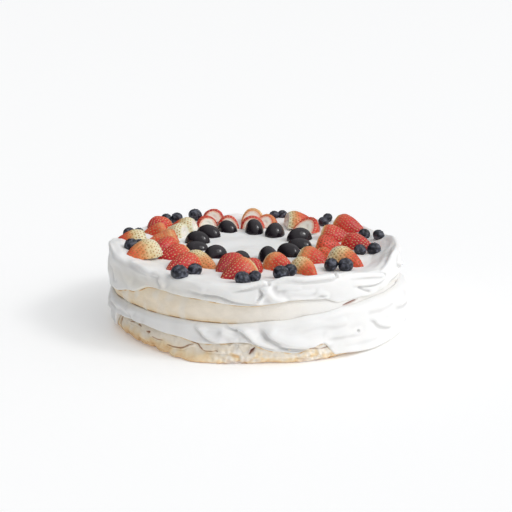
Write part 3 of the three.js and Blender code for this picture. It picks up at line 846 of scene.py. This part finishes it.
def spread(cake, disc, angle, top_out, top_high, side, lip, over_lip, hem, hem_round, steps):
    """A layer of cream's profile, from its top over its lip, down its side, round its hem and back in
    over the disc that it lies on. It comes with how much of the side's relief each step shows."""
    side_steps, hem_steps, under_steps = steps
    _, rest, _ = disc(angle)
    edge = top_high[:, -1:]
    lip_out, lip_high = arc(top_out[:, -1:], edge, side, edge - lip, len(over_lip), True)
    down_high = straight(edge - lip, hem + hem_round, side_steps)
    foot = cake.against(disc, angle, hem)
    hem_out, hem_high = arc(side, hem + hem_round, foot, hem, hem_steps, False)
    back_high = straight(hem, np.maximum(rest - 0.1, hem + 0.1), 8)
    back_out = cake.against(disc, angle, back_high)
    under = np.linspace(1, 0, under_steps + 1)[None, 1:]
    out = np.hstack([top_out, lip_out, side + 0 * down_high, hem_out, back_out, back_out[:, -1:] * under])
    high = np.hstack([top_high, lip_high, down_high, hem_high, back_high, rest + CLEARANCE + 0 * under])
    shown = np.zeros(out.shape[1])
    free = np.concatenate([over_lip, np.ones(side_steps), np.linspace(1, 0, hem_steps)])
    start = top_out.shape[1]
    shown[start:start + len(free)] = free
    return out, high, shown


class PAVLOVA_OT_filling_cream(Operator):
    """Make the cream that is squeezed out between the two meringues"""
    bl_idname = "pavlova.filling_cream"
    bl_label = "Cream filling"

    def execute(self, context):
        cake = Cake(context.scene)
        angle = columns(FILLING_COLUMNS)
        _, _, ceiling = cake.upper(angle)
        inner = cake.against(cake.upper, angle, ceiling + 0.5)
        inwards = np.linspace(0, 1, 7)[None, :]
        climb = straight(ceiling + 0.5, np.maximum(around(FILLING_TOP, angle), ceiling + 0.6), 8)
        top_out = np.hstack([inner * inwards, cake.against(cake.upper, angle, climb)])
        top_high = np.hstack([ceiling - CLEARANCE + 0 * inwards, climb])
        side, lip = cake.filling_side(angle), 4 + 4 * place(angle, ROUNDER)
        hem = around(FILLING_HEM, angle)
        over_lip = np.linspace(0.1, 1, 12)
        out, high, shown = spread(
            cake, cake.lower, angle, top_out, top_high, side, lip, over_lip, hem, 2.5, (56, 10, 6))
        wide = angle + 0 * out
        relief = pressed(FILLING_MARKS, cake.filling_radius, wide, high)
        relief += 0.4 * lumps(spots(angle, out, high), 12, 7)
        thin = 0.35 * smooth(1 - (high - hem) / 1.6)
        # the filling's creases get painted shade
        piece = lofted(wide, out + shown * relief, high, thin=thin, hollow=shown * hollows(relief))
        finish_piece(piece, "cream_filling", cream_finish(cake.colours), "filling_cream")
        return {"FINISHED"}


class PAVLOVA_OT_topping_cream(Operator):
    """Make the cream on top, spread over the rim and down the side"""
    bl_idname = "pavlova.topping_cream"
    bl_label = "Cream topping"

    def execute(self, context):
        cake = Cake(context.scene)
        angle = columns(TOPPING_COLUMNS)
        _, ceiling, _ = cake.upper(angle)
        side, lip = cake.topping_side(angle), cake.lip * (1 - 0.6 * place(angle, SHARP_RIM))
        hem = np.minimum(around(TOPPING_HEM, angle), ceiling - 0.6)
        top_out = (side - lip) * (1 - (1 - np.linspace(0, 1, TOPPING_RINGS)[None, :]) ** 1.35)
        top_high = cake.topping_top(angle + 0 * top_out, top_out)
        over_lip = np.linspace(0.1, 0.9, 10)
        out, high, on_side = spread(
            cake, cake.upper, angle, top_out, top_high, side, lip, over_lip, hem, 2, (44, 8, 5))
        on_top = np.where(np.arange(out.shape[1]) < TOPPING_RINGS + len(over_lip), 1 - on_side, 0)
        wide = angle + 0 * out
        points = spots(angle, out, high)
        unrolled = np.where(on_top > 0, high + np.maximum(side - out, 0), high)
        relief = pressed(TOPPING_MARKS, cake.topping_radius, wide, unrolled)
        relief += 0.5 * lumps(points, 14, 9) * smooth((out - 40) / 60)
        lines = 0.17 * smooth(out / 15) * np.sin(out / 1.1 + 3 * lumps(points, 40, 4))
        thin = smooth(1 - (high - hem) / 1.6)
        for middle, width, level, reach, much in THIN_PLACES:
            thin += much * place(wide, (middle, width)) * hump(high - level, reach)
        # the topping's creases get painted shade, less of it on top
        piece = lofted(
            wide, out + on_side * relief, high + on_top * (relief + lines), thin=np.clip(0.35 * thin, 0, 1),
            hollow=np.maximum(on_side, 0.25 * on_top) * hollows(relief))
        finish_piece(piece, "cream_topping", cream_finish(cake.colours), "topping_cream")
        return {"FINISHED"}


# ---- the fruit ----
def finish_fruit(piece, name, i, finish, kind):
    """Finishes a piece of fruit of its kind, counted from 1."""
    finish_piece(piece, f"{name}_{i + 1:02d}", finish, f"{kind}_{i + 1:02d}")


def laid_at(cake, x, y, heading, lift, height):
    """The matrix that lays a fruit on the cream, headed and tilted, raised by a height."""
    angle = math.degrees(math.atan2(y, x))
    floor = float(cake.topping_top(np.array(angle), math.hypot(x, y))) - cake.sunk
    turn = Euler((0, math.radians(lift), math.radians(heading))).to_matrix().to_4x4()
    return Matrix.Translation((x + CENTRE[0], y + CENTRE[1], floor + height)) @ turn


def put(points, matrix):
    matrix = np.array(matrix)
    return points @ matrix[:3, :3].T + matrix[:3, 3]


def half_outline(sides, flat):
    """The section of a half fruit: an arch of so many sides, closed by a flat cut."""
    slant = math.pi * np.arange(sides) / sides
    cut = np.linspace(-1, 1, flat, endpoint=False)
    return np.append(np.cos(slant), cut), np.append(np.sin(slant), 0 * cut)


def outward(points):
    """The direction outwards at each point of a fruit, by ring and side."""
    along = np.gradient(points, axis=0)
    round_it = np.roll(points, -1, 1) - np.roll(points, 1, 1)
    normal = np.cross(round_it, along)
    return normal / np.maximum(np.linalg.norm(normal, axis=-1, keepdims=True), 1e-9)


def seed_shape():
    """Points and faces of one seed, a small drop along X. A sphere's faces come in no set order, so they
    are sorted."""
    bpy.ops.mesh.primitive_uv_sphere_add(segments=6, ring_count=4, radius=0.5, calc_uvs=False)
    seed = bpy.context.object
    points = np.array([v.co for v in seed.data.vertices])[:, [2, 0, 1]]
    points[:, 1] *= 0.62 - 0.3 * points[:, 0]
    points[:, 2] *= 0.45
    faces = sorted(tuple(face.vertices) for face in seed.data.polygons)
    bpy.data.objects.remove(seed)
    return points, faces


class Strawberry:
    """A hulled half strawberry, by ring from its cut end to its tip and by side."""

    FACE, BODY = 10, 62     # rings of its hulled end and of the rest
    ARCH, CUT = 72, 8       # sides of its skin and of the cut that it lies on

    def __init__(self, row, seed):
        _, _, _, self.length, self.width, self.height, _, self.shoulder, self.tip, self.tone, *rest = row
        self.draw = np.random.default_rng(seed)
        slant, self.start = (*rest, *LEAN_AND_START[len(rest):])
        self.collar = 0.3 if slant < 0.3 else -0.15
        across, up = half_outline(self.ARCH, self.CUT)
        along = (1 - np.cos(np.linspace(0, math.pi, self.BODY + 1))) / 2
        blunt = 0.86
        body = np.where(
            along < 0.22, 1 - (1 - blunt) * (1 - along / 0.22) ** 2,
            (1 - np.clip((along - 0.22) / 0.78, 0, 1) ** 1.45) ** 0.8)
        face = np.arange(self.FACE) / self.FACE
        self.along = np.append(0 * face, along)[:, None]
        self.face = np.append(face, 1 + 0 * along)[:, None]
        self.share = np.append(blunt * face, body)[:, None]
        lop = 0.06 * self.width * self.draw.normal() * (self.along - 0.5)
        y = 0.5 * self.width * self.share * across + lop
        z = 0.45 * self.height * blunt * (1 - self.face) + self.height * self.share * up
        x = (self.along - 0.5) * self.length + slant * z * (1 - self.along) ** 2
        x = x + 0.03 * self.length * smooth(1 - self.face / 0.4)
        self.points = np.stack([x, y, z], -1)
        self.points += (0.4 * lumps(self.points, 11, seed) * self.share)[..., None] * outward(self.points)

    def place_seeds(self, spacing, depth):
        """Chooses a point for each seed, in staggered rows, and presses a dimple round it."""
        arch = math.pi * math.sqrt((self.width ** 2 / 4 + self.height ** 2) / 2)
        ridge = self.points[self.FACE:, self.ARCH // 2]
        travelled = np.append(0, np.cumsum(np.linalg.norm(np.diff(ridge, axis=0), axis=1)))
        self.seeds = []
        for i, distance in enumerate(np.arange(0.5 * spacing, travelled[-1] - 0.3 * spacing, 0.84 * spacing)):
            ring = self.FACE + int(np.argmin(np.abs(travelled - distance)))
            count = max(1, round(arch * self.share[ring, 0] / spacing))
            for k in range(count):
                part = (k + 0.25 + 0.5 * (i % 2) + 0.12 * self.draw.normal()) / count
                self.seeds.append((ring, int(np.clip(part * self.ARCH, 1, self.ARCH - 1))))
        middles = np.array([self.points[seed] for seed in self.seeds])
        away = np.linalg.norm(self.points.reshape(-1, 1, 3) - middles, axis=-1).min(1)
        self.dimple = hump(away.reshape(self.points.shape[:2]), 0.3 * spacing)
        self.points -= depth * self.dimple[..., None] * outward(self.points)

    def seed_points(self, size, shape):
        """Points of all the seeds, each lying along the fruit in its dimple."""
        ups, tangents = outward(self.points), np.gradient(self.points, axis=0)
        placed = []
        for seed in self.seeds:
            up = ups[seed]
            ahead = tangents[seed] - up * (tangents[seed] @ up)
            ahead /= np.linalg.norm(ahead)
            scale = size * self.draw.uniform(0.85, 1.15)
            basis = np.stack([ahead, np.cross(up, ahead), up])
            placed.append(self.points[seed] + 0.14 * up + scale * (shape @ basis))
        return np.vstack(placed)

    def ripeness(self):
        """How ripe the skin is at each point, paler at the shoulder and along one side of it."""
        lean = 0.16 * self.draw.normal() * self.points[..., 1] / self.width
        ripe = mix(self.shoulder, self.tip, smooth((self.along - self.start) / (0.8 - self.start) + lean))
        return ripe - self.collar * hump(self.along, 0.07)


def make_strawberry(row, cake, matrix, shape, seed):
    """The pieces of one strawberry: its body and its seeds."""
    berry = Strawberry(row, seed)
    berry.place_seeds(cake.seed_spacing, cake.dimple)
    underside = np.arange(berry.points.shape[1]) >= berry.ARCH
    flesh = np.maximum(np.clip((1 - berry.face) / 0.6, 0, 1), underside[None, :])
    body = rolled(put(berry.points, matrix), ripe=berry.ripeness(), dimple=berry.dimple, flesh=flesh)
    points, faces = shape
    seeds = put(berry.seed_points(cake.seed_length, points), matrix)
    mesh = bpy.data.meshes.new("seeds")
    mesh.from_pydata((seeds * MM).tolist(), [], [
        tuple(v + k * len(points) for v in face) for k in range(len(berry.seeds)) for face in faces])
    piece = bpy.data.objects.new("seeds", mesh)
    bpy.context.collection.objects.link(piece)
    set_attribute(piece, "seed", np.ones(len(seeds)))
    set_attribute(piece, "seed_tone", np.full(len(seeds), berry.tone))
    return [body, piece]


class PAVLOVA_OT_strawberries(Operator):
    """Make the halved strawberries, with their seeds"""
    bl_idname = "pavlova.strawberries"
    bl_label = "Strawberries"

    def execute(self, context):
        cake = Cake(context.scene)
        finish = strawberry_finish(cake.colours)
        shape = seed_shape()
        for i, group in enumerate(STRAWBERRIES):
            parts = []
            for k, row in enumerate(group):
                x, y, heading, size, _, _, lift = row[:7]
                raised = 0.3 * size * math.sin(math.radians(abs(lift)))
                matrix = laid_at(cake, x, y, heading, lift, raised)
                parts += make_strawberry(row, cake, matrix, shape, 100 + 10 * i + k)
            piece = join(parts)
            bpy.ops.object.shade_smooth_by_angle(angle=CUT_EDGE)
            finish_fruit(piece, "halved_strawberry", i, finish, "strawberry")
        return {"FINISHED"}


class PAVLOVA_OT_grapes(Operator):
    """Make the dark grape halves, lying on their cut side"""
    bl_idname = "pavlova.grapes"
    bl_label = "Grapes"

    def execute(self, context):
        cake = Cake(context.scene)
        finish = grape_finish(cake.colours)
        across, up = half_outline(48, 10)
        along = (1 - np.cos(np.linspace(0, math.pi, FRUIT_RINGS))) / 2
        share = (np.maximum(1 - (2 * along - 1) ** 2, 0) ** 0.45)[:, None]
        for i, (x, y, heading, size, width, height) in enumerate(GRAPES):
            out = (along - 0.5)[:, None] * size
            side = share * across
            points = np.stack([out + 0 * side, 0.5 * width * side, height * share * up], -1)
            points += (0.16 * lumps(points, 12, 40 + i) * share)[..., None] * (0, 1, 1)
            from_scar = np.hypot(points[..., 0] - 0.47 * size, points[..., 1])
            points[..., 0] -= 0.8 * hump(from_scar, math.sqrt(4.8))
            piece = rolled(put(points, laid_at(cake, x, y, heading, 0, 0)))
            bpy.ops.object.shade_smooth_by_angle(angle=CUT_EDGE)
            finish_fruit(piece, "halved_grape", i, finish, "grape")
        return {"FINISHED"}


class PAVLOVA_OT_blueberries(Operator):
    """Make the blueberries, each with its crown"""
    bl_idname = "pavlova.blueberries"
    bl_label = "Blueberries"

    def execute(self, context):
        cake = Cake(context.scene)
        finish = blueberry_finish(cake.colours)
        tilt = np.linspace(0, 180, FRUIT_RINGS)[:, None]
        turn = np.linspace(0, 2 * math.pi, 50, endpoint=False)[None, :]
        rim = hump(tilt - 24, 5) * (0.5 + 0.5 * np.cos(5 * turn))
        cup = smooth(1 - tilt / 22) + 0 * turn
        out, up = np.sin(np.radians(tilt)), np.cos(np.radians(tilt))
        ball = np.stack([out * np.cos(turn), out * np.sin(turn), 0.86 * up + 0 * turn], -1)
        shape = (0.97 + 0.08 * rim - 0.2 * cup)[..., None] * ball
        for i, group in enumerate(BLUEBERRIES):
            parts = []
            for k, (x, y, size, raised) in enumerate(group):
                points = size / 2 * shape
                points *= 1 + 0.012 * lumps(points, 0.6 * size, 60 + i)[..., None]
                matrix = laid_at(cake, x, y, 70 * i + 150 * k, 35, 0.43 * size + raised)
                parts.append(rolled(put(points, matrix), crown=np.clip(rim + cup, 0, 1)))
            finish_fruit(join(parts), "blueberries", i, finish, "blueberry")
        return {"FINISHED"}


# ---- the stage ----
def studio_light():
    """A world that is brightest to the right, as in a room with one wide window."""
    sky = Shader(bpy.data.worlds.new("studio"), "Background", "Generated")
    window = {0: sky.place, 1: (0.48, -0.15, 0.87)}
    towards = sky.node("ShaderNodeVectorMath", {"operation": "DOT_PRODUCT"}, window, 1)
    return sky.finish(Color=(0.98, 0.99, 1.0), Strength=0.03 + 0.95 * towards.between(-0.2, 1.0))


class PAVLOVA_OT_stage(Operator):
    """Set a plain pale floor, soft light from the right and the camera"""
    bl_idname = "pavlova.stage"
    bl_label = "Stage"

    def execute(self, context):
        scene = context.scene
        scene.view_settings.view_transform = "Standard"
        bpy.ops.mesh.primitive_plane_add(size=200)
        floor = context.object
        floor.name = "floor"
        shader = Shader(bpy.data.materials.new("pale_floor"))
        soft = shader.noise(900, 2)
        shade = shader.blend(soft * 0.1, (0.86, 0.86, 0.86), (0.83, 0.83, 0.83))
        floor.data.materials.append(shader.finish(
            Base_Color=shade, Roughness=0.9, Emission_Color=(1, 1, 1), Emission_Strength=0.2))

        for tilt, turn, energy, width in SUNS:
            bpy.ops.object.light_add(type="SUN", rotation=(math.radians(tilt), 0, math.radians(turn)))
            context.object.data.energy = energy
            context.object.data.angle = math.radians(width)
        scene.world = studio_light()

        stand = Matrix.Translation([MM * part for part in CAMERA])
        pitch = Matrix.Rotation(math.radians(90 - LOOKS_DOWN), 4, "X")
        bpy.ops.object.camera_add()
        camera = context.object
        camera.matrix_world = stand @ pitch @ Matrix.Rotation(math.radians(ROLL), 4, "Z")
        camera.data.lens = FOCAL_LENGTH * camera.data.sensor_width / IMAGE_WIDTH
        camera.data.clip_end = 300
        scene.camera = camera
        return {"FINISHED"}


class PAVLOVA_PT_panel(Panel):
    bl_label = "Pavlova"
    bl_idname = "PAVLOVA_PT_panel"
    bl_space_type = "VIEW_3D"
    bl_region_type = "UI"
    bl_category = "Pavlova"

    def draw(self, context):
        scene = context.scene
        for group in (scene.pavlova_layers, scene.pavlova_fruit, scene.pavlova_colours):
            box = self.layout.box()
            for name in group.__annotations__:
                box.prop(group, name)
        for operator in OPERATORS:
            self.layout.operator(operator.bl_idname)


OPERATORS = (
    PAVLOVA_OT_lower_meringue, PAVLOVA_OT_filling_cream, PAVLOVA_OT_upper_meringue, PAVLOVA_OT_topping_cream,
    PAVLOVA_OT_grapes, PAVLOVA_OT_strawberries, PAVLOVA_OT_blueberries, PAVLOVA_OT_stage,
)
GROUPS = {"pavlova_layers": PavlovaLayers, "pavlova_fruit": PavlovaFruit, "pavlova_colours": PavlovaColours}


def register():
    for cls in (*GROUPS.values(), *OPERATORS, PAVLOVA_PT_panel):
        bpy.utils.register_class(cls)
    for name, group in GROUPS.items():
        setattr(bpy.types.Scene, name, PointerProperty(type=group))


def unregister():
    for name in GROUPS:
        delattr(bpy.types.Scene, name)
    for cls in reversed((*GROUPS.values(), *OPERATORS, PAVLOVA_PT_panel)):
        bpy.utils.unregister_class(cls)


def main():
    register()
    for operator in OPERATORS:
        family, name = operator.bl_idname.split(".")
        getattr(getattr(bpy.ops, family), name)()


if __name__ == "__main__":
    main()
